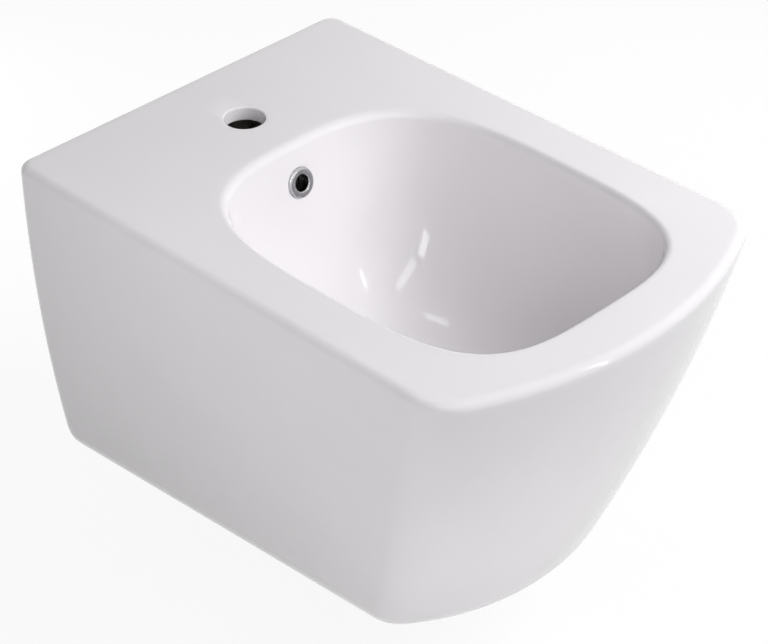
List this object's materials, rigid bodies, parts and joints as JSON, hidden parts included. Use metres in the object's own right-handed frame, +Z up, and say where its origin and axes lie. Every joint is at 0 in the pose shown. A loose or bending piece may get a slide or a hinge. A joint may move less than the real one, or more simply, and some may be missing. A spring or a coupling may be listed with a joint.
{
  "type": "bidet",
  "caption": "Wall-hung ceramic bidet with a bowed front, a tap hole in the rear deck, a chrome overflow ring, a press-to-close waste, a bottle trap and wall studs",
  "frame": {"origin": "on the wall plane, midway between the axes of the two wall studs", "axes": "+Z up, +Y into the wall, -Y towards the user, +X to the right of a user who faces the wall"},
  "size_m": [0.36, 0.58, 0.315],
  "materials": {
    "white_glaze": "glossy white glaze over vitreous china",
    "chrome_plate": "polished chrome plate on brass",
    "bare_brass": "machined, unplated",
    "zinc_steel": "zinc plated",
    "black_rubber": "matt black",
    "white_plastic": "moulded white polypropylene",
    "grey_plastic": "moulded grey acetal"
  },
  "bodies": {
    "bidet": {"ceramic_body": "white_glaze", "overflow_ring": "chrome_plate", "overflow_sleeve": "black_rubber", "waste_body": "chrome_plate", "flange_gasket": "black_rubber", "tail_gasket": "black_rubber", "tail_washer": "white_plastic", "back_nut": "bare_brass", "cartridge_housing": "grey_plastic", "cartridge_cap": "grey_plastic", "cartridge_spring": "zinc_steel", "trap_nut": "white_plastic", "trap_seal": "black_rubber", "trap_body": "white_plastic", "dip_tube": "white_plastic", "trap_cup": "white_plastic", "cup_seal": "black_rubber", "outlet_nut": "white_plastic", "outlet_seal": "black_rubber", "outlet_pipe": "white_plastic", "wall_rosette": "white_plastic", "wall_studs": "zinc_steel", "stud_sleeves": "white_plastic", "stud_washers": "zinc_steel", "stud_nuts": "zinc_steel"},
    "plug": {"plug_cap": "chrome_plate", "plug_seal": "black_rubber", "plunger": "bare_brass"}
  },
  "joints": [
    {"name": "plug_slide", "type": "slide", "parent": "bidet", "child": "plug", "axis": [0, 0, 1], "range_m": [0, 0.009], "deforming": ["cartridge_spring"]}
  ]
}
